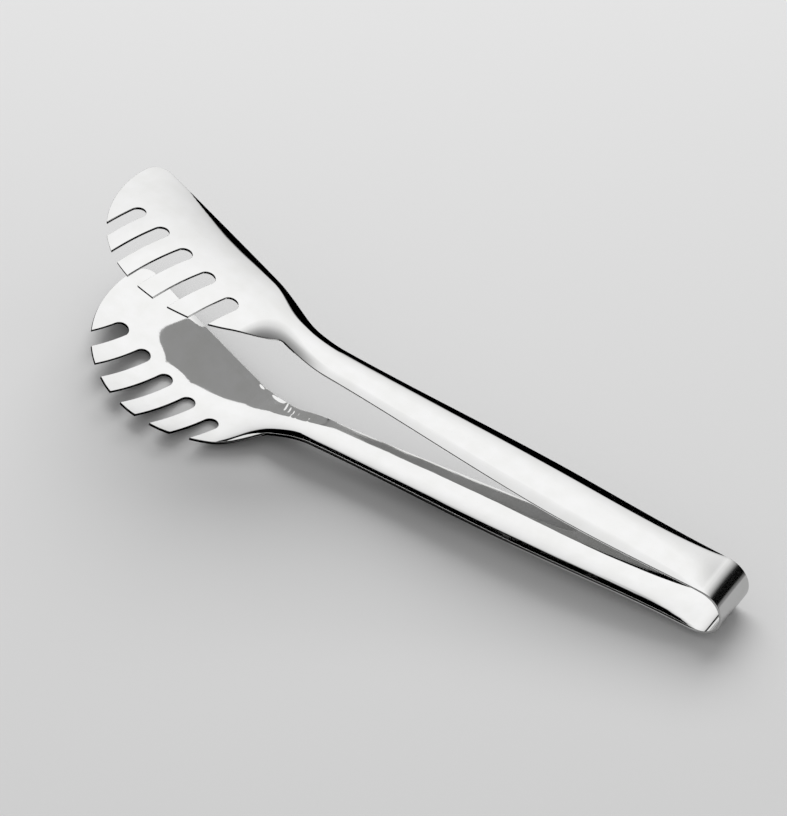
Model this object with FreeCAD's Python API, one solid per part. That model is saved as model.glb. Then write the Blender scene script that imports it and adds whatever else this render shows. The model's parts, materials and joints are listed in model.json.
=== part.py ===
import FreeCAD, Part

import math
import os

# Tongs pressed from one strip of stainless sheet: a spring bow at one end, two channelled
# handles, and two dished comb heads. Sizes are in millimetres. They are modelled about their
# own mid-plane, with the bow's centre at the origin, x from the bow to the heads, y towards
# the combs' open side and z upwards. The upper half is drawn, and the lower one mirrors it.
# At the end the tongs are tipped over to lie on a table as they do when they are put down.

# The sheet and the spring bow
SHEET = 0.9
BOW_RADIUS = 8.2
BOW_WIDTH = 17.4
FLEXURE_ANGLE = 45.0
LEAF_LENGTH = 14.0

# The handles: widest at the grip, narrowest at the neck
GRIP_X = 49.0
GRIP_WIDTH = 19.4
NECK_X = 137.0
NECK_WIDTH = 13.0
RIM_SPREAD = 0.066
SPREAD_RUN_IN = 62.0

# The handles' gutter: a rounded crown between two flanks, which fold down more as they start
GUTTER_START = 4.0
CROWN_SLOPE = 0.3
CROWN_ROUNDING = 0.5
CROWN_LEAD = 1.8
CROWN_RUN_IN = 14.0
FOLD_SHARE = 0.39
FOLD_SLOPE = 0.11
BOW_FOLD_SLOPE = 0.4
FOLD_RUN_IN = 11.0
FOLD_ROUNDING = 0.5

# The heads: half discs, turned towards their straight edge, with the comb in the round one
HEAD_RADIUS = 41.0
HEAD_ANGLE = 22.0
CHEEK_RUN = 6.2
CHEEK_SETBACK = 3.63
NOSE_RADIUS = 5.0
HEEL_RADIUS = 3.0
CHEEK_RADIUS = 15.0

# The step from the neck up to the head, the head's dish and its rolled straight edge
STEP_LEAD = 5.5
STEP_LENGTH = 28.5
STEP_RISE = 6.67
DISH_DEPTH = 5.3
DISH_CROWN_OFFSET = 24.9
DISH_TWIST = 0.8
EDGE_DROP = 0.65
CROWN_DROP = 5.9
EDGE_ROLL_SLOPE = 0.12
EDGE_ROLL_WIDTH = 2.3
EDGE_ROLL_START = -25.0
EDGE_ROLL_LENGTH = 51.0

# The comb
SLOT_COUNT = 5
SLOT_WIDTH = 5.2
SLOT_PITCH = 11.7
SLOT_ROOT_OFFSET = 21.95
COMB_SHIFT = 0.3

# How the tongs lie on the table
REST_ROLL = 6.9
REST_PITCH = 5.5

# Working values
GRID_STEP = 2.5
MARGIN = 3.0
PROBE = 0.01
AXIS_MARK = 1000.0
JOIN_TOLERANCE = 0.001
ORIGIN = FreeCAD.Vector(0, 0, 0)
ACROSS = FreeCAD.Vector(0, 1, 0)
UPWARDS = FreeCAD.Vector(0, 0, 1)
PRISM_HEIGHT = 4 * HEAD_RADIUS

# The head's centre: its straight edge crosses the neck's far edge one cheek run beyond the
# neck, and a cheek setback before the half disc ends
HEAD_TURN = math.radians(HEAD_ANGLE)
CHEEK_X = NECK_X + CHEEK_RUN
HEAD_X = CHEEK_X + (HEAD_RADIUS - CHEEK_SETBACK) * math.cos(HEAD_TURN)
HEAD_Y = -NECK_WIDTH / 2 - (HEAD_RADIUS - CHEEK_SETBACK) * math.sin(HEAD_TURN)


def ease(t):
    """Rise from 0 to 1 with level ends."""
    t = min(max(t, 0.0), 1.0)
    return t * t * (3 - 2 * t)


def half_width(x):
    """Half the strip's width in plan, from the bow to the neck."""
    if x < GRIP_X:
        return (BOW_WIDTH + (GRIP_WIDTH - BOW_WIDTH) * ease(x / GRIP_X)) / 2
    narrowing = ease((x - GRIP_X) / (NECK_X - GRIP_X))
    return (GRIP_WIDTH + (NECK_WIDTH - GRIP_WIDTH) * narrowing) / 2


def rim_height(x):
    """Height of the strip's two rims: level at the bow, then spreading at a steady slope."""
    t = min(max(x / SPREAD_RUN_IN, 0.0), 1.0)
    run_in = SPREAD_RUN_IN * (t**3 - t**4 / 2)
    return BOW_RADIUS + RIM_SPREAD * (run_in + max(x - SPREAD_RUN_IN, 0.0))


def fold(distance):
    """Rise at a slope of 1 beyond a rounded fold line."""
    return (distance + math.hypot(distance, FOLD_ROUNDING)) / 2


def gutter_height(x, y):
    """How far the gutter stands above its rims: a rounded crown, and the two folds beside it."""
    half = half_width(x)
    reach = math.hypot(1, CROWN_ROUNDING)
    crown = CROWN_SLOPE * half * reach * (1 - math.exp(-(x + CROWN_LEAD) / CROWN_RUN_IN))
    arch = crown * (reach - math.hypot(y / half, CROWN_ROUNDING))
    run_in = math.exp(-x / FOLD_RUN_IN)
    flank = FOLD_SHARE * half * (1 - run_in) + FOLD_ROUNDING
    slope = FOLD_SLOPE + (BOW_FOLD_SLOPE - FOLD_SLOPE) * run_in
    bend = slope * (fold(flank) - fold(flank - half + abs(y)))
    return (arch + bend) * (1 - math.exp(-((x / GUTTER_START) ** 2)))


def handle_height(x, y):
    """Outer face of the handle, a gutter that stands on its rims."""
    return rim_height(x) + gutter_height(x, y)


def edge_roll(along, out):
    """How far the head's straight edge is rolled down, less and less towards the nose."""
    width = EDGE_ROLL_WIDTH * (1 - ((along - EDGE_ROLL_START) / EDGE_ROLL_LENGTH) ** 4)
    return EDGE_ROLL_SLOPE * fold(max(width, 0.0) - out)


def head_height(x, y):
    """Outer face of the head, a shallow dish that falls away towards nose and heel."""
    along = (x - HEAD_X) * math.cos(HEAD_TURN) - (y - HEAD_Y) * math.sin(HEAD_TURN)
    out = (x - HEAD_X) * math.sin(HEAD_TURN) + (y - HEAD_Y) * math.cos(HEAD_TURN)
    edge = rim_height(NECK_X) + STEP_RISE
    dish = DISH_DEPTH * (1 - (out / DISH_CROWN_OFFSET - 1) ** 2)
    twist = DISH_TWIST * along / HEAD_RADIUS * out / DISH_CROWN_OFFSET
    drop = EDGE_DROP + (CROWN_DROP - EDGE_DROP) * out / DISH_CROWN_OFFSET
    return edge + dish - twist - drop * (along / HEAD_RADIUS) ** 2 - edge_roll(along, out)


def outer_point(x, y):
    """A point on the outer face of the upper half."""
    share = ease((x - NECK_X + STEP_LEAD) / STEP_LENGTH)
    z = (1 - share) * handle_height(x, y) + share * head_height(x, y)
    return FreeCAD.Vector(x, y, z)


def inner_point(x, y):
    """The point one sheet thickness below it, square to the sheet."""
    along = outer_point(x + PROBE, y) - outer_point(x - PROBE, y)
    across = outer_point(x, y + PROBE) - outer_point(x, y - PROBE)
    return outer_point(x, y) - along.cross(across).normalize() * SHEET


def steps(start, end):
    """Evenly spaced values from start to end, about one grid step apart."""
    count = max(4, math.ceil((end - start) / GRID_STEP))
    return [start + (end - start) * i / count for i in range(count + 1)]


def smooth_surface(point, xs, ys):
    """A smooth surface through the given point function's values."""
    surface = Part.BSplineSurface()
    surface.interpolate([[point(x, y) for y in ys] for x in xs])
    return surface


def sheet_patch(x_start, x_end, y_low, y_high):
    """A piece of the pressed sheet of the upper half, over a rectangle in plan."""
    xs = steps(x_start, x_end)
    ys = steps(y_low, y_high)
    outer = smooth_surface(outer_point, xs, ys)
    inner = smooth_surface(inner_point, xs, ys)
    faces = [outer.toShape(), inner.toShape()]
    u_low, u_high, v_low, v_high = outer.bounds()
    for u in (u_low, u_high):
        faces.append(Part.makeRuledSurface(outer.uIso(u).toShape(), inner.uIso(u).toShape()))
    for v in (v_low, v_high):
        faces.append(Part.makeRuledSurface(outer.vIso(v).toShape(), inner.vIso(v).toShape()))
    shell = Part.makeShell(faces)
    shell.sewShape()
    solid = Part.makeSolid(shell)
    if solid.Volume < 0:
        solid.reverse()
    return solid


def ring_sector(start, end):
    """Part of the bow between two angles, counted upwards from its outermost line."""
    def at(radius, angle):
        turn = math.radians(angle)
        return FreeCAD.Vector(-radius * math.cos(turn), -BOW_WIDTH / 2, radius * math.sin(turn))

    inner_radius = BOW_RADIUS - SHEET
    middle = (start + end) / 2
    edges = [
        Part.Arc(at(BOW_RADIUS, start), at(BOW_RADIUS, middle), at(BOW_RADIUS, end)).toShape(),
        Part.makeLine(at(BOW_RADIUS, end), at(inner_radius, end)),
        Part.Arc(at(inner_radius, end), at(inner_radius, middle), at(inner_radius, start)).toShape(),
        Part.makeLine(at(inner_radius, start), at(BOW_RADIUS, start)),
    ]
    return Part.Face(Part.Wire(edges)).extrude(ACROSS * BOW_WIDTH)


def strip_prism():
    """The strip's outline in plan, from the bow to the neck, as an upright prism."""
    xs = steps(-MARGIN, NECK_X + MARGIN)
    near = Part.BSplineCurve()
    near.interpolate([FreeCAD.Vector(x, half_width(x), 0) for x in xs])
    far = Part.BSplineCurve()
    far.interpolate([FreeCAD.Vector(x, -half_width(x), 0) for x in xs])
    edges = [
        near.toShape(),
        Part.makeLine(near.EndPoint, far.EndPoint),
        far.toShape(),
        Part.makeLine(far.StartPoint, near.StartPoint),
    ]
    return Part.Face(Part.Wire(Part.__sortEdges__(edges))).extrude(UPWARDS * PRISM_HEIGHT)


def upright_edge(shape, x, y):
    """The shape's upright edge that stands nearest to a point in plan."""
    upright = [e for e in shape.Edges if e.BoundBox.ZLength > PRISM_HEIGHT / 2
               and e.BoundBox.DiagonalLength < PRISM_HEIGHT + PROBE]
    return min(upright, key=lambda e: math.hypot(e.CenterOfMass.x - x, e.CenterOfMass.y - y))


def head_prism():
    """The head's outline in plan, with its stub of neck, as an upright prism."""
    size = 2 * HEAD_RADIUS + MARGIN
    disc = Part.makeCylinder(HEAD_RADIUS, PRISM_HEIGHT)
    half_disc = disc.common(Part.makeBox(2 * size, size, PRISM_HEIGHT, FreeCAD.Vector(-size, 0, 0)))
    half_disc = half_disc.makeFillet(NOSE_RADIUS, [upright_edge(half_disc, HEAD_RADIUS, 0)])
    half_disc.rotate(ORIGIN, UPWARDS, -HEAD_ANGLE)
    half_disc.translate(FreeCAD.Vector(HEAD_X, HEAD_Y, 0))

    heel_x = HEAD_X - math.sqrt(HEAD_RADIUS**2 - (NECK_WIDTH / 2 - HEAD_Y) ** 2)
    neck_start = FreeCAD.Vector(NECK_X - MARGIN, -NECK_WIDTH / 2, 0)
    neck_length = max(CHEEK_X, heel_x) - neck_start.x + NECK_WIDTH
    outline = half_disc.fuse(Part.makeBox(neck_length, NECK_WIDTH, PRISM_HEIGHT, neck_start))
    outline = outline.removeSplitter()
    outline = outline.makeFillet(HEEL_RADIUS, [upright_edge(outline, heel_x, NECK_WIDTH / 2)])
    outline = outline.makeFillet(CHEEK_RADIUS, [upright_edge(outline, CHEEK_X, -NECK_WIDTH / 2)])
    return outline.cut(comb_cutter())


def comb_cutter():
    """The comb's slots, round at their closed ends and square to the head's straight edge."""
    slots = []
    for i in range(SLOT_COUNT):
        along = (i - (SLOT_COUNT - 1) / 2) * SLOT_PITCH + COMB_SHIFT
        root = FreeCAD.Vector(along, SLOT_ROOT_OFFSET, 0)
        corner = root - FreeCAD.Vector(SLOT_WIDTH / 2, 0, 0)
        slot = Part.makeBox(SLOT_WIDTH, HEAD_RADIUS, PRISM_HEIGHT, corner)
        slots.append(slot.fuse(Part.makeCylinder(SLOT_WIDTH / 2, PRISM_HEIGHT, root)))
    cutter = Part.makeCompound(slots)
    cutter.rotate(ORIGIN, UPWARDS, -HEAD_ANGLE)
    cutter.translate(FreeCAD.Vector(HEAD_X, HEAD_Y, 0))
    return cutter


def spring_leaf():
    """The end of the bow and the flat start of the strip, which bends with it."""
    wide = max(BOW_WIDTH, GRIP_WIDTH) / 2 + MARGIN
    flat = sheet_patch(0, LEAF_LENGTH, -wide, wide).common(strip_prism())
    return ring_sector(FLEXURE_ANGLE, 90).multiFuse([flat], JOIN_TOLERANCE).removeSplitter()


def handle():
    """The gutter that the fingers hold."""
    wide = max(GRIP_WIDTH, BOW_WIDTH, NECK_WIDTH) / 2 + MARGIN
    return sheet_patch(LEAF_LENGTH, NECK_X, -wide, wide).common(strip_prism())


def jaw():
    """The dished head with its comb."""
    far_side = HEAD_Y - HEAD_RADIUS * math.sin(HEAD_TURN) - MARGIN
    near_side = HEAD_Y + HEAD_RADIUS + MARGIN
    end = HEAD_X + HEAD_RADIUS + MARGIN
    return sheet_patch(NECK_X, end, far_side, near_side).common(head_prism())


def one_solid(shape):
    """The single solid that a boolean left."""
    solids = shape.Solids
    if len(solids) != 1:
        raise ValueError("expected one solid, got %d" % len(solids))
    return solids[0]


def tip_over(shape):
    """Turn a shape from the tongs' own mid-plane to the way they lie on the table."""
    shape.rotate(ORIGIN, FreeCAD.Vector(1, 0, 0), REST_ROLL)
    shape.rotate(ORIGIN, ACROSS, -REST_PITCH)


def main():
    upper = {"spring_leaf": spring_leaf(), "handle": handle(), "jaw": jaw()}
    parts = {"spring_bow": ring_sector(-FLEXURE_ANGLE, FLEXURE_ANGLE)}
    for name, shape in upper.items():
        solid = one_solid(shape)
        parts["upper_" + name] = solid
        parts["lower_" + name] = solid.mirror(ORIGIN, UPWARDS)

    # The flexures: lines on the bow's inner face, where it bends as the tongs close
    inner_radius = BOW_RADIUS - SHEET
    turn = math.radians(FLEXURE_ANGLE)
    flexure_x = -inner_radius * math.cos(turn)
    marks = {
        "bow_flex_lower": Part.Vertex(flexure_x, 0, -inner_radius * math.sin(turn)),
        "bow_flex_upper": Part.Vertex(flexure_x, 0, inner_radius * math.sin(turn)),
        "bow_centre": Part.Vertex(0, 0, 0),
        "bow_axis_end": Part.Vertex(0, AXIS_MARK, 0),
    }
    for shape in list(parts.values()) + list(marks.values()):
        tip_over(shape)

    box = Part.makeCompound(list(parts.values())).optimalBoundingBox(False, False)
    shift = FreeCAD.Vector(-box.Center.x, -box.Center.y, -box.ZMin)
    os.makedirs("parts", exist_ok=True)
    for name, shape in parts.items():
        shape.translate(shift)
        shape.exportStep("parts/%s.step" % name)
        print("%-20s valid %s volume %.1f mm3" % (name, shape.isValid(), shape.Volume))
    for name, mark in marks.items():
        point = mark.Point + shift
        print("%-20s %.5f %.5f %.5f" % (name, point.x, point.y, point.z))
    print("size %.2f x %.2f x %.2f mm" % (box.XLength, box.YLength, box.ZLength))


main()
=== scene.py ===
"""Ice tongs pressed from one strip of stainless sheet, lying on a pale table."""
import json
import math

import bpy
from mathutils import Matrix, Vector


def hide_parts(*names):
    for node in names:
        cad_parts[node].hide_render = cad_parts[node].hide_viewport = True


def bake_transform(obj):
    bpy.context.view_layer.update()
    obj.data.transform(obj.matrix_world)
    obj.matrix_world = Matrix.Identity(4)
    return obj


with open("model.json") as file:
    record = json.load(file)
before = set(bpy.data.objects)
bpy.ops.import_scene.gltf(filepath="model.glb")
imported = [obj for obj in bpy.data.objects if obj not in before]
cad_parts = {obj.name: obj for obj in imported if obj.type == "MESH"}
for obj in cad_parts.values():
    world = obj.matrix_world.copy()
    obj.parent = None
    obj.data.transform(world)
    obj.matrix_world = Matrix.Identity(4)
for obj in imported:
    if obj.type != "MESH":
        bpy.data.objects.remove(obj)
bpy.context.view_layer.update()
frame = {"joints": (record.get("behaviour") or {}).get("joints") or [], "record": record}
bpy.ops.object.select_all(action="DESELECT")

# ---------------------------------------------------------------------------------------------
# Camera
# It stands well back on the combs' side and looks down on the tongs through a long lens. Here
# and below, lengths are in millimetres where they are turned to metres by MM.
# ---------------------------------------------------------------------------------------------
MM = 0.001
CAMERA_PLACE = Vector((-622.6, 1040.5, 1340.7)) * MM
CAMERA_TURN = (math.radians(42.675), math.radians(0.291), math.radians(-149.172))
CAMERA_LENS = 274.46
CAMERA_SENSOR = 36.0

bpy.ops.object.camera_add(location=CAMERA_PLACE, rotation=CAMERA_TURN)
camera = bpy.context.object
camera.name = "camera"
camera.data.sensor_fit = "HORIZONTAL"
camera.data.sensor_width = CAMERA_SENSOR
camera.data.lens = CAMERA_LENS
bpy.context.scene.camera = camera

# ---------------------------------------------------------------------------------------------
# The strip
# The tongs are one strip of 0.9 mm stainless sheet. Each half of it, from the middle of the
# spring bow to the nose of its head, is blanked flat with its comb, its edges are rounded in
# a tumbler, and then it is pressed to its gutter and dish and bent round the bow.
# ---------------------------------------------------------------------------------------------
SHEET = 0.9
EDGE_ROUNDING = 0.12
BOW_RADIUS = 8.2
BOW_WIDTH = 17.4
GRIP_X = 49.0
GRIP_WIDTH = 19.4
NECK_X = 137.0
NECK_WIDTH = 13.0
RIM_SPREAD = 0.066
SPREAD_RUN_IN = 62.0
CROWN_SLOPE = 0.3
CROWN_ROUNDING = 0.5
CROWN_RUN_IN = 14.0
FOLD_SHARE = 0.39
FOLD_SLOPE = 0.11
BOW_FOLD_SLOPE = 0.4
FOLD_RUN_IN = 11.0
FOLD_ROUNDING = 0.5
BOW_FADE = 1.8

# The lower half's flanks are wider near the bow: by how much, where, and how far round there
FAR_WIDENING = (1.0, 44.0, 26.0)
NEAR_WIDENING = (1.2, 20.0, 14.0)
FAR_FOLD_ROUNDING = 0.7

HEAD_RADIUS = 41.0
HEAD_TURN = math.radians(22.0)
CHEEK_RUN = 6.2
CHEEK_SETBACK = 3.63
CHEEK_RADIUS = 15.0
NOSE_RADIUS = 5.0
HEEL_RADIUS = 3.0
CHEEK_X = NECK_X + CHEEK_RUN
HEAD_CENTRE = Vector((
    CHEEK_X + (HEAD_RADIUS - CHEEK_SETBACK) * math.cos(HEAD_TURN),
    -NECK_WIDTH / 2 - (HEAD_RADIUS - CHEEK_SETBACK) * math.sin(HEAD_TURN),
))

STEP_LEAD = 5.5
STEP_LENGTH = 28.5
STEP_RISE = 6.67
DISH_DEPTH = 5.3
DISH_CROWN_OFFSET = 24.9
DISH_TWIST = 0.8
EDGE_DROP = 0.65
CROWN_DROP = 5.9
EDGE_ROLL_SLOPE = 0.12
EDGE_ROLL_WIDTH = 2.3
EDGE_ROLL_START = -25.0
EDGE_ROLL_LENGTH = 51.0

SLOT_COUNT = 5
SLOT_WIDTH = 5.2
SLOT_PITCH = 11.7
SLOT_ROOT_OFFSET = 21.95
COMB_SHIFT = 0.3

# Slot edges drawn in by the punch, and small buckles in the flank where the neck turns
DRAW_DEPTH = 0.16
DRAW_REACH = 3.0
BUCKLE_PLACES = (138.0, 142.1, 144.0, 145.7, 147.4)
BUCKLE_HEIGHT = 0.1
BUCKLE_HALF_WIDTH = 0.45
BUCKLE_OFFSET = 1.5
BUCKLE_REACH = 0.9
CURL_PLACES = ((152.0, 3.0), (158.7, 2.0))
CURL_HEIGHT = 0.3
CURL_REACH = 1.0

CELL = 1.0
FINE_CELL = 0.25
FINE_LENGTHS = (135.0, 162.0)
FINE_BREADTHS = (-13.5, -3.5)
BOW_CELL = 0.7
ARC_CELL = 0.6
EDGE_STEPS = 3
PROBE = 0.01
SHARP_TURN = math.radians(20)


def ease(t):
    """Rise from 0 to 1 with level ends."""
    t = min(max(t, 0.0), 1.0)
    return t * t * (3 - 2 * t)


def half_width(x):
    """Half the strip's width, from the bow to the neck."""
    if x < GRIP_X:
        return (BOW_WIDTH + (GRIP_WIDTH - BOW_WIDTH) * ease(x / GRIP_X)) / 2
    narrowing = ease((x - GRIP_X) / (NECK_X - GRIP_X))
    return (GRIP_WIDTH + (NECK_WIDTH - GRIP_WIDTH) * narrowing) / 2


def line(start, end):
    """Points about one cell apart on a straight line, without its end."""
    count = max(1, round((end - start).length / CELL))
    return [start.lerp(end, i / count) for i in range(count)]


def arc(centre, radius, start, end):
    """Points on an arc from one angle to another, without its end."""
    count = max(2, round(abs(end - start) * radius / (CELL if radius > CHEEK_RADIUS else ARC_CELL)))
    turns = [start + (end - start) * i / count for i in range(count)]
    return [centre + radius * Vector((math.cos(turn), math.sin(turn))) for turn in turns]


def in_head(along, out):
    """A point in plan, from its places along and out from the head's straight edge."""
    return HEAD_CENTRE + Vector((
        along * math.cos(HEAD_TURN) + out * math.sin(HEAD_TURN),
        out * math.cos(HEAD_TURN) - along * math.sin(HEAD_TURN),
    ))


def blank_outline(start_x):
    """The strip's outline in plan, anticlockwise from the far corner at the middle of the bow."""
    half_neck = NECK_WIDTH / 2
    edge_cells = round((NECK_X - start_x) / CELL)
    edge = [start_x + (NECK_X - start_x) * i / edge_cells for i in range(edge_cells)]
    points = [Vector((x, -half_width(x))) for x in edge]

    # The cheek, and the straight edge to the nose
    cheek_start = CHEEK_X - CHEEK_RADIUS * math.tan(HEAD_TURN / 2)
    cheek_centre = Vector((cheek_start, -half_neck - CHEEK_RADIUS))
    points += line(Vector((NECK_X, -half_neck)), Vector((cheek_start, -half_neck)))
    points += arc(cheek_centre, CHEEK_RADIUS, math.pi / 2, math.pi / 2 - HEAD_TURN)
    cheek_end = cheek_centre + CHEEK_RADIUS * Vector((math.sin(HEAD_TURN), math.cos(HEAD_TURN)))
    nose_along = math.sqrt((HEAD_RADIUS - NOSE_RADIUS) ** 2 - NOSE_RADIUS ** 2)
    nose_end = math.asin(NOSE_RADIUS / (HEAD_RADIUS - NOSE_RADIUS)) - HEAD_TURN
    points += line(cheek_end, in_head(nose_along, 0))
    points += arc(in_head(nose_along, NOSE_RADIUS), NOSE_RADIUS, -math.pi / 2 - HEAD_TURN, nose_end)

    # The round edge, with a slot cut back from it at each gap of the comb
    turn = nose_end
    for i in reversed(range(SLOT_COUNT)):
        middle = (i - (SLOT_COUNT - 1) / 2) * SLOT_PITCH + COMB_SHIFT
        first, last = middle + SLOT_WIDTH / 2, middle - SLOT_WIDTH / 2
        mouth_start = math.acos(first / HEAD_RADIUS) - HEAD_TURN
        mouth_end = math.acos(last / HEAD_RADIUS) - HEAD_TURN
        points += arc(HEAD_CENTRE, HEAD_RADIUS, turn, mouth_start)
        root = SLOT_ROOT_OFFSET
        points += line(in_head(first, math.sqrt(HEAD_RADIUS**2 - first**2)), in_head(first, root))
        points += arc(in_head(middle, root), SLOT_WIDTH / 2, -HEAD_TURN, -math.pi - HEAD_TURN)
        points += line(in_head(last, root), in_head(last, math.sqrt(HEAD_RADIUS**2 - last**2)))
        turn = mouth_end

    # The heel, and the near edge back to the bow
    heel_y = half_neck + HEEL_RADIUS
    heel_run = math.sqrt((HEAD_RADIUS + HEEL_RADIUS) ** 2 - (heel_y - HEAD_CENTRE.y) ** 2)
    heel_centre = Vector((HEAD_CENTRE.x - heel_run, heel_y))
    heel_turn = math.atan2(heel_y - HEAD_CENTRE.y, -heel_run)
    points += arc(HEAD_CENTRE, HEAD_RADIUS, turn, heel_turn)
    points += arc(heel_centre, HEEL_RADIUS, heel_turn - math.pi, -math.pi / 2)
    points += line(Vector((heel_centre.x, half_neck)), Vector((NECK_X, half_neck)))
    points += [Vector((x, half_width(x))) for x in reversed([*edge[1:], NECK_X])]
    points.append(Vector((start_x, half_width(start_x))))
    return points


BLANK_START = -BOW_RADIUS * math.pi / 2
outline = blank_outline(BLANK_START)
bpy.ops.mesh.primitive_circle_add(vertices=len(outline), radius=HEAD_RADIUS)
blank = bpy.context.object
blank.name = "blank"
for vertex, point in zip(blank.data.vertices, outline):
    vertex.co = (point.x, point.y, 0.0)

# Half the sheet's thickness is drawn up from its middle, with a rounded upper edge
bpy.ops.object.mode_set(mode="EDIT")
bpy.ops.mesh.select_mode(type="EDGE")
bpy.ops.mesh.select_all(action="SELECT")
bpy.ops.mesh.extrude_edges_move(
    TRANSFORM_OT_translate={"value": (0, 0, SHEET / 2 - EDGE_ROUNDING)})
bpy.ops.mesh.edge_face_add()
bpy.ops.mesh.select_mode(type="FACE")
bpy.ops.mesh.select_all(action="SELECT")
bpy.ops.mesh.normals_make_consistent(inside=False)
bpy.ops.mesh.select_all(action="DESELECT")
bpy.ops.object.mode_set(mode="OBJECT")
top = max(blank.data.polygons, key=lambda face: face.area)
top.select = True
bpy.ops.object.mode_set(mode="EDIT")
for i in range(EDGE_STEPS):
    low, high = (math.pi / 2 * k / EDGE_STEPS for k in (i, i + 1))
    bpy.ops.mesh.inset(
        thickness=EDGE_ROUNDING * (math.cos(low) - math.cos(high)),
        depth=EDGE_ROUNDING * (math.sin(high) - math.sin(low)),
        use_even_offset=True)

# The flat field inside the rounding is cut to cells
bpy.ops.mesh.hide(unselected=True)
near, far = max(p.y for p in outline), min(p.y for p in outline)
cuts = [(BLANK_START + BOW_CELL * i, (1, 0, 0)) for i in range(1, int(-BLANK_START / BOW_CELL))]
cuts += [(CELL * i, (1, 0, 0)) for i in range(int(max(p.x for p in outline) / CELL) + 1)]
cuts += [(CELL * i, (0, 1, 0)) for i in range(int(far / CELL), int(near / CELL) + 1)]
for (low, high), direction in ((FINE_LENGTHS, (1, 0, 0)), (FINE_BREADTHS, (0, 1, 0))):
    places = [low + FINE_CELL * i for i in range(round((high - low) / FINE_CELL))]
    cuts += [(place, direction) for place in places if abs(place / CELL % 1) > PROBE]
for place, direction in cuts:
    bpy.ops.mesh.select_all(action="SELECT")
    bpy.ops.mesh.bisect(plane_co=place * Vector(direction), plane_no=direction)
bpy.ops.mesh.reveal()
bpy.ops.object.mode_set(mode="OBJECT")
doubling = blank.modifiers.new("other_side", "MIRROR")
doubling.use_axis = (False, False, True)
doubling.merge_threshold = PROBE
bpy.ops.object.modifier_apply(modifier="other_side")

# The two halves' own ends meet flat at the middle of the bow, where the strip is whole
for vertex in blank.data.vertices:
    if vertex.co.x < BLANK_START + EDGE_ROUNDING + PROBE:
        vertex.co.x = BLANK_START


def rim_height(x):
    """Height of the strip's two rims: level at the bow, then spreading at a steady slope."""
    t = min(max(x / SPREAD_RUN_IN, 0.0), 1.0)
    run_in = SPREAD_RUN_IN * (t**3 - t**4 / 2)
    return BOW_RADIUS + RIM_SPREAD * (run_in + max(x - SPREAD_RUN_IN, 0.0))


def fold(distance, rounding):
    """Rise at a slope of 1 beyond a rounded fold line."""
    return (distance + math.hypot(distance, rounding)) / 2


def widening(x, most, place, reach):
    """How much wider a flank is at a place along it, most of all at its widest place."""
    return most * math.exp(-((x - place) / reach) ** 2)


def gutter_height(x, y, side):
    """How far the gutter stands above its rims: a crown between two folded flanks."""
    half = half_width(x)
    start = max(x, 0.0)
    reach = math.hypot(1, CROWN_ROUNDING)
    crown = CROWN_SLOPE * half * reach * (1 - math.exp(-(start + BOW_FADE) / CROWN_RUN_IN))
    arch = crown * (reach - math.hypot(y / half, CROWN_ROUNDING))
    run_in = math.exp(-start / FOLD_RUN_IN)
    flank = FOLD_SHARE * half * (1 - run_in) + FOLD_ROUNDING
    slope = FOLD_SLOPE + (BOW_FOLD_SLOPE - FOLD_SLOPE) * run_in
    wider, rounding = 0.0, FOLD_ROUNDING
    if side < 0:
        nearness = ease(y / half + 0.5)
        far_wider = widening(x, *FAR_WIDENING)
        wider = far_wider + (widening(x, *NEAR_WIDENING) - far_wider) * nearness
        rounding = FAR_FOLD_ROUNDING + (FOLD_ROUNDING - FAR_FOLD_ROUNDING) * nearness
    bend = slope * (fold(flank, FOLD_ROUNDING) - fold(flank + wider - half + abs(y), rounding))
    return (arch + bend) / (1 + math.exp(-(x + BOW_FADE / 2) / BOW_FADE))


def edge_roll(along, out):
    """How far the head's straight edge is rolled down, less and less towards the nose."""
    width = EDGE_ROLL_WIDTH * (1 - ((along - EDGE_ROLL_START) / EDGE_ROLL_LENGTH) ** 4)
    return EDGE_ROLL_SLOPE * fold(max(width, 0.0) - out, FOLD_ROUNDING)


def slot_draw(along, out):
    """How far the punch draws the sheet in beside the comb's slots."""
    nearest = round((along - COMB_SHIFT) / SLOT_PITCH)
    reach = (SLOT_COUNT - 1) // 2
    middle = min(max(nearest, -reach), reach) * SLOT_PITCH + COMB_SHIFT
    gap = math.hypot(along - middle, min(out - SLOT_ROOT_OFFSET, 0.0)) - SLOT_WIDTH / 2
    return DRAW_DEPTH * math.exp(-max(gap, 0.0) / DRAW_REACH)


def buckles(x, y, out):
    """Small wrinkles and curled spots that the press leaves along the flank at the cheek."""
    inside = max(out, y + NECK_WIDTH / 2)
    height = 0.0
    for place in BUCKLE_PLACES:
        height += BUCKLE_HEIGHT * math.exp(-(((x - place) / BUCKLE_HALF_WIDTH) ** 2)
                                           - ((inside - BUCKLE_OFFSET) / BUCKLE_REACH) ** 2)
    for place, half_length in CURL_PLACES:
        height += CURL_HEIGHT * math.exp(-(((x - place) / half_length) ** 2)
                                         - (inside / CURL_REACH) ** 2)
    return height


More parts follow.
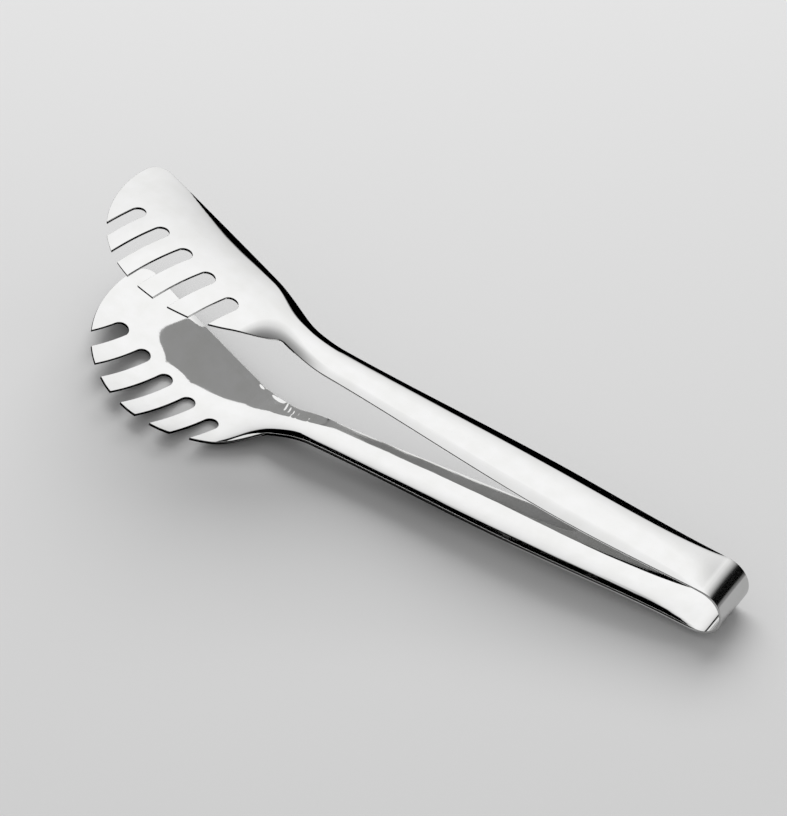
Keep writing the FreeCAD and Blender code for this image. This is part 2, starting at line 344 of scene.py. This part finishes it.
def pressed_height(x, y, side):
    """The outer face's height: a gutter that steps up to the dished head."""
    handle = rim_height(x) + gutter_height(x, y, side)
    share = ease((x - NECK_X + STEP_LEAD) / STEP_LENGTH)
    if share == 0:
        return handle
    place = Vector((x, y)) - HEAD_CENTRE
    along = place.x * math.cos(HEAD_TURN) - place.y * math.sin(HEAD_TURN)
    out = place.x * math.sin(HEAD_TURN) + place.y * math.cos(HEAD_TURN)
    edge = rim_height(NECK_X) + STEP_RISE
    dish = DISH_DEPTH * (1 - (out / DISH_CROWN_OFFSET - 1) ** 2)
    drop = EDGE_DROP + (CROWN_DROP - EDGE_DROP) * out / DISH_CROWN_OFFSET
    twist = DISH_TWIST * along / HEAD_RADIUS * out / DISH_CROWN_OFFSET
    head = edge + dish - twist - drop * (along / HEAD_RADIUS) ** 2 - edge_roll(along, out)
    height = (1 - share) * handle + share * (head - slot_draw(along, out))
    return height + buckles(x, y, out) if side < 0 else height


def pressed_place(x, y, side):
    """Where a point of the blank's outer face goes. Ahead of the handle it bends round the bow."""
    if x >= 0:
        return Vector((x, y, pressed_height(x, y, side)))
    radius = BOW_RADIUS + gutter_height(x, y, side)
    return Vector((radius * math.sin(x / BOW_RADIUS), y, radius * math.cos(x / BOW_RADIUS)))


def pressed_frame(x, y, side):
    """The same place, with the directions along, across and out of the sheet."""
    along = pressed_place(x + PROBE, y, side) - pressed_place(x - PROBE, y, side)
    across = pressed_place(x, y + PROBE, side) - pressed_place(x, y - PROBE, side)
    out = along.cross(across).normalized()
    along.normalize()
    return pressed_place(x, y, side), along, out.cross(along), out


def press(name, side):
    """Press a copy of the blank to one half of the tongs. The lower one, with side -1, mirrors."""
    piece = blank.copy()
    piece.name = name
    piece.data = blank.data.copy()
    piece.data.name = name
    bpy.context.collection.objects.link(piece)
    mirror = Matrix.Diagonal((1, 1, side))
    turn = lying.to_3x3() @ mirror
    frames = [pressed_frame(flat.co.x, flat.co.y, side) for flat in blank.data.vertices]
    for vertex, (place, along, across, out) in zip(piece.data.vertices, frames):
        vertex.co = lying @ (mirror @ (place + (vertex.co.z - SHEET / 2) * out))

    # Mirroring turns the lower half inside out, and this turns it back
    if side < 0:
        piece.data.flip_normals()

    # The faces keep the pressed sheet's own smooth normals, but for the comb's sharp corners
    normals = []
    for face, flat_face in zip(piece.data.polygons, blank.data.polygons):
        for index in face.vertices:
            flat = blank.data.vertices[index]
            lean = flat.normal
            if abs(flat.co.z) > SHEET / 2 - PROBE:
                lean = Vector((0, 0, math.copysign(1, flat.co.z)))
            elif flat.co.x < BLANK_START + PROBE and abs(flat_face.normal.x) < 0.5:
                lean = Vector((0, lean.y, lean.z)).normalized()
            elif lean.angle(flat_face.normal) > SHARP_TURN:
                lean = flat_face.normal
            place, along, across, out = frames[index]
            normals.append((turn @ (lean.x * along + lean.y * across + lean.z * out)).normalized())
    for face in piece.data.polygons:
        face.use_smooth = True
    piece.data.normals_split_custom_set(normals)
    return piece


# How the tongs lie: the bow's axis and the two flexures say where their own axes point
bow_centre = Vector(frame["record"]["mounts"][0]["pos_m"])
across = Vector(frame["record"]["mounts"][0]["axis"]).normalized()
flexures = [Vector(joint["pos_m"]) for joint in frame["joints"]]
along = (bow_centre - (flexures[0] + flexures[1]) / 2).normalized()
turn = Matrix((along, across, along.cross(across))).transposed().to_4x4()
lying = Matrix.Translation(bow_centre) @ turn @ Matrix.Scale(MM, 4)

# Polished stainless steel: a thin haze that varies from spot to spot, fine lines left by the
# polishing wheel along the tongs, and the slight unevenness of rolled sheet
steel = bpy.data.materials.new("polished_stainless")
steel.use_nodes = True
shader = steel.node_tree.nodes["Principled BSDF"]
shader.inputs["Metallic"].default_value = 1.0
nodes, links = steel.node_tree.nodes, steel.node_tree.links
spot = nodes.new("ShaderNodeTexCoord")
haze = nodes.new("ShaderNodeTexNoise")
haze.inputs["Scale"].default_value = 180.0
haze.inputs["Detail"].default_value = 4.0
polish = nodes.new("ShaderNodeMapRange")
polish.inputs["From Min"].default_value = 0.3
polish.inputs["From Max"].default_value = 0.7
polish.inputs["To Min"].default_value = 0.015
polish.inputs["To Max"].default_value = 0.04
tone = nodes.new("ShaderNodeValToRGB")
tone.color_ramp.elements[0].position = 0.3
tone.color_ramp.elements[0].color = (0.84, 0.84, 0.83, 1)
tone.color_ramp.elements[1].position = 0.7
tone.color_ramp.elements[1].color = (0.88, 0.88, 0.88, 1)
stretch = nodes.new("ShaderNodeMapping")
stretch.inputs["Scale"].default_value = (60.0, 3000.0, 3000.0)
grain = nodes.new("ShaderNodeTexNoise")
grain.inputs["Scale"].default_value = 1.0
grain.inputs["Detail"].default_value = 2.0
lines = nodes.new("ShaderNodeBump")
lines.inputs["Strength"].default_value = 1.0
lines.inputs["Distance"].default_value = 0.0000008
wave = nodes.new("ShaderNodeTexNoise")
wave.inputs["Scale"].default_value = 70.0
wave.inputs["Detail"].default_value = 1.0
ripple = nodes.new("ShaderNodeBump")
ripple.inputs["Strength"].default_value = 0.15
ripple.inputs["Distance"].default_value = 0.0004
links.new(spot.outputs["Object"], haze.inputs["Vector"])
links.new(haze.outputs["Fac"], polish.inputs["Value"])
links.new(polish.outputs["Result"], shader.inputs["Roughness"])
links.new(spot.outputs["Object"], wave.inputs["Vector"])
links.new(wave.outputs["Fac"], ripple.inputs["Height"])
links.new(haze.outputs["Fac"], tone.inputs["Fac"])
links.new(tone.outputs["Color"], shader.inputs["Base Color"])
links.new(spot.outputs["Object"], stretch.inputs["Vector"])
links.new(stretch.outputs["Vector"], grain.inputs["Vector"])
links.new(grain.outputs["Fac"], lines.inputs["Height"])
links.new(ripple.outputs["Normal"], lines.inputs["Normal"])
links.new(lines.outputs["Normal"], shader.inputs["Normal"])

upper = press("upper_half_strip", 1)
lower = press("lower_half_strip", -1)
bpy.data.objects.remove(blank)
for piece, half in ((upper, "upper"), (lower, "lower")):
    piece.data.materials.clear()
    piece.data.materials.append(steel)
    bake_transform(piece)
    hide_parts(half + "_jaw", half + "_handle", half + "_spring_leaf", "spring_bow")

# ---------------------------------------------------------------------------------------------
# Table and light
# The tongs lie on a pale matt table, which a softbox lights from behind them. Their steel shows
# a white wall that fades out overhead, a dark floor under it, and a painted reflection of the
# table, which is painted black where the steel reflects it.
# ---------------------------------------------------------------------------------------------
TABLE_SIZE = 6.0
bpy.ops.mesh.primitive_plane_add(size=TABLE_SIZE, location=(0, 0, 0))
table = bpy.context.object
table.name = "table"
paper = bpy.data.materials.new("pale_table")
paper.use_nodes = True
nodes, links = paper.node_tree.nodes, paper.node_tree.links
nodes["Principled BSDF"].inputs["Base Color"].default_value = (0.8, 0.8, 0.8, 1)
nodes["Principled BSDF"].inputs["Roughness"].default_value = 0.9
nodes["Principled BSDF"].inputs["Specular IOR Level"].default_value = 0.0
table.data.materials.append(paper)

# In the steel's reflections only, the table is painted black: a painted reflection, with no card
# on it. Round the bow it is only a third as dark, and where the steel shows steel it is half as
# dark, which is painted shade.
painted_reflection_black = nodes.new("ShaderNodeBsdfDiffuse")
painted_reflection_black.inputs["Color"].default_value = (0, 0, 0, 1)
mix = nodes.new("ShaderNodeMixShader")
path = nodes.new("ShaderNodeLightPath")
coords = nodes.new("ShaderNodeTexCoord")
away = nodes.new("ShaderNodeVectorMath")
away.operation = "DOT_PRODUCT"
away.inputs[1].default_value = (0.91, -0.415, 0.0)
reach = nodes.new("ShaderNodeMapRange")
reach.inputs["From Min"].default_value = -0.09
reach.inputs["From Max"].default_value = -0.08
reach.inputs["To Min"].default_value = 0.35
parts = nodes.new("ShaderNodeSeparateXYZ")
front = nodes.new("ShaderNodeMapRange")
front.inputs["From Min"].default_value = -0.06
front.inputs["From Max"].default_value = -0.045
front.inputs["To Min"].default_value = 1.0
front.inputs["To Max"].default_value = 0.35
least = nodes.new("ShaderNodeMath")
least.operation = "MINIMUM"
beyond = nodes.new("ShaderNodeMapRange")
beyond.inputs["From Min"].default_value = -0.03
beyond.inputs["From Max"].default_value = -0.02
most = nodes.new("ShaderNodeMath")
most.operation = "MAXIMUM"
# Painted shade: in a second reflection the table is shown half as dark
second = nodes.new("ShaderNodeMath")
second.operation = "GREATER_THAN"
second.inputs[1].default_value = 1.5
shade = nodes.new("ShaderNodeMix")
shade.inputs["B"].default_value = 0.5
both = nodes.new("ShaderNodeMath")
both.operation = "MULTIPLY"
links.new(coords.outputs["Object"], away.inputs[0])
links.new(away.outputs["Value"], reach.inputs["Value"])
links.new(path.outputs["Glossy Depth"], second.inputs[0])
links.new(second.outputs["Value"], shade.inputs["Factor"])
links.new(coords.outputs["Object"], parts.inputs["Vector"])
links.new(parts.outputs["Y"], front.inputs["Value"])
links.new(reach.outputs["Result"], least.inputs[0])
links.new(front.outputs["Result"], least.inputs[1])
links.new(parts.outputs["X"], beyond.inputs["Value"])
links.new(least.outputs["Value"], most.inputs[0])
links.new(beyond.outputs["Result"], most.inputs[1])
links.new(most.outputs["Value"], shade.inputs["A"])
links.new(shade.outputs["Result"], both.inputs[0])
links.new(path.outputs["Is Glossy Ray"], both.inputs[1])
links.new(both.outputs["Value"], mix.inputs["Fac"])
links.new(nodes["Principled BSDF"].outputs["BSDF"], mix.inputs[1])
links.new(painted_reflection_black.outputs["BSDF"], mix.inputs[2])
links.new(mix.outputs["Shader"], nodes["Material Output"].inputs["Surface"])

# The softbox overhead lights the table, and the steel doesn't show it
SOFTBOX_PLACE = Vector((0.35, -0.58, 0.735)) * 1.35
bpy.ops.object.light_add(type="AREA", location=SOFTBOX_PLACE)
key = bpy.context.object
key.name = "softbox"
key.data.shape = "RECTANGLE"
key.data.size = 1.3
key.data.size_y = 1.0
key.data.energy = 13.5
key.rotation_euler = (-SOFTBOX_PLACE).to_track_quat("-Z", "Y").to_euler()
key.visible_glossy = False

# A soft-edged black flag beside the bow, which only the steel's reflections see
FLAG_SIZE = 0.36
FLAG_PLACE = Vector((-0.182, -0.112, 0.058))
FLAG_RIGHT = Vector((0.723, -0.177, 0.668))
FLAG_UP = Vector((-0.476, 0.573, 0.667))
bpy.ops.mesh.primitive_plane_add(size=FLAG_SIZE)
flag = bpy.context.object
flag.name = "flag"
turn = Matrix((FLAG_RIGHT, FLAG_UP, FLAG_RIGHT.cross(FLAG_UP))).transposed().to_4x4()
flag.matrix_world = Matrix.Translation(FLAG_PLACE) @ turn
velvet = bpy.data.materials.new("black_velvet")
velvet.use_nodes = True
nodes, links = velvet.node_tree.nodes, velvet.node_tree.links
coords = nodes.new("ShaderNodeTexCoord")
parts = nodes.new("ShaderNodeSeparateXYZ")
spread = nodes.new("ShaderNodeMapRange")
spread.inputs["From Min"].default_value = -0.09
spread.inputs["From Max"].default_value = 0.15
edge = nodes.new("ShaderNodeValToRGB")
FLAG_STOPS = ((0.11, 0.5), (0.2, 0.95), (0.29, 0.98), (0.375, 0.99), (0.46, 0.94), (0.55, 0.68),
              (0.64, 0.44), (0.73, 0.24), (0.82, 0.12), (0.91, 0.04))
edge.color_ramp.elements[0].color = (0, 0, 0, 1)
edge.color_ramp.elements[1].color = (0, 0, 0, 1)
for place, cover in FLAG_STOPS:
    edge.color_ramp.elements.new(place).color = (cover, cover, cover, 1)
clear = nodes.new("ShaderNodeBsdfTransparent")
black = nodes.new("ShaderNodeBsdfDiffuse")
black.inputs["Color"].default_value = (0.01, 0.01, 0.01, 1)
mix = nodes.new("ShaderNodeMixShader")
links.new(coords.outputs["Object"], parts.inputs["Vector"])
links.new(parts.outputs["X"], spread.inputs["Value"])
links.new(spread.outputs["Result"], edge.inputs["Fac"])
links.new(edge.outputs["Color"], mix.inputs["Fac"])
links.new(clear.outputs["BSDF"], mix.inputs[1])
links.new(black.outputs["BSDF"], mix.inputs[2])
links.new(mix.outputs["Shader"], nodes["Material Output"].inputs["Surface"])
flag.data.materials.append(velvet)
flag.visible_camera = False
flag.visible_diffuse = False
flag.visible_shadow = False

world = bpy.data.worlds.new("studio")
bpy.context.scene.world = world
world.use_nodes = True
nodes, links = world.node_tree.nodes, world.node_tree.links


def sum_of(operation, first, second=0.0):
    """A maths node's result from two numbers or sockets."""
    node = nodes.new("ShaderNodeMath")
    node.operation = operation
    for socket, value in zip(node.inputs, (first, second)):
        if isinstance(value, float):
            socket.default_value = value
        else:
            links.new(value, socket)
    return node.outputs["Value"]


def curve_of(value, stops):
    """A value's place on a line through the stops, each a position and a height."""
    node = nodes.new("ShaderNodeValToRGB")
    start, end = stops[0][0], stops[-1][0]
    along = sum_of("DIVIDE", sum_of("SUBTRACT", value, start), end - start)
    links.new(along, node.inputs["Fac"])
    for i, (place, height) in enumerate(stops):
        share = (place - start) / (end - start)
        if 0 < i < len(stops) - 1:
            stop = node.color_ramp.elements.new(share)
        else:
            stop = node.color_ramp.elements[0 if i == 0 else -1]
        stop.position = share
        stop.color = (height, height, height, 1)
    return node.outputs["Color"]


direction = nodes.new("ShaderNodeTexCoord")
split = nodes.new("ShaderNodeSeparateXYZ")
links.new(direction.outputs["Generated"], split.inputs["Vector"])
aside, ahead, height = split.outputs["X"], split.outputs["Y"], split.outputs["Z"]
flat_x = sum_of("DIVIDE", aside, sum_of("ADD", height, 1.0))
flat_y = sum_of("DIVIDE", ahead, sum_of("ADD", height, 1.0))

# The white wall glows above a dark floor, whose edge is higher on the bow's side
edge = curve_of(aside, ((-0.2, 0.22), (0.2, 0.08), (0.26, 0.0), (0.38, 0.0), (0.5, 0.14),
                        (0.56, 0.13), (0.66, 0.06)))
rise = curve_of(sum_of("SUBTRACT", height, edge), ((0.0, 0.0), (0.02, 1.0)))
wall = curve_of(height, ((0.07, 0.55), (0.12, 0.68), (0.19, 0.76), (0.3, 0.84), (0.45, 0.9),
                         (0.7, 0.95)))

# It fades out overhead and on the bow's side
left = sum_of("MAXIMUM", sum_of("SUBTRACT", 0.1, flat_x), 0.0)
near = sum_of("MULTIPLY", sum_of("MAXIMUM", sum_of("ADD", flat_y, 0.45), 0.0), 0.85)
left_squared, near_squared = sum_of("MULTIPLY", left, left), sum_of("MULTIPLY", near, near)
away = sum_of("SQRT", sum_of("ADD", left_squared, near_squared))
fade = curve_of(away, ((0.3, 1.0), (0.335, 0.86), (0.36, 0.76), (0.385, 0.58), (0.41, 0.4),
                       (0.44, 0.25), (0.5, 0.08), (0.56, 0.02)))
bright = sum_of("MULTIPLY", sum_of("MULTIPLY", wall, rise), fade)

# A low glow beyond the bow
glow = sum_of("MULTIPLY", curve_of(height, ((0.08, 0.4), (0.16, 0.0))),
              curve_of(aside, ((-0.65, 1.0), (-0.5, 0.0))))
glow = sum_of("MULTIPLY", glow, curve_of(ahead, ((-0.15, 1.0), (0.0, 0.0))))
bright = sum_of("MAXIMUM", bright, glow)

# Only the steel sees the wall. The table gets an even grey light, and so does a third reflection
path = nodes.new("ShaderNodeLightPath")
fill = nodes.new("ShaderNodeMix")
fill.inputs["A"].default_value = 0.37
links.new(path.outputs["Is Glossy Ray"], fill.inputs["Factor"])
deep = nodes.new("ShaderNodeMath")
deep.operation = "GREATER_THAN"
deep.inputs[1].default_value = 2.5
even = nodes.new("ShaderNodeMix")
even.inputs["B"].default_value = 0.4
links.new(path.outputs["Glossy Depth"], deep.inputs[0])
links.new(deep.outputs["Value"], even.inputs["Factor"])
links.new(bright, even.inputs["A"])
links.new(even.outputs["Result"], fill.inputs["B"])
links.new(fill.outputs["Result"], nodes["Background"].inputs["Color"])
nodes["Background"].inputs["Strength"].default_value = 1.1

bpy.context.scene.view_settings.view_transform = "Standard"
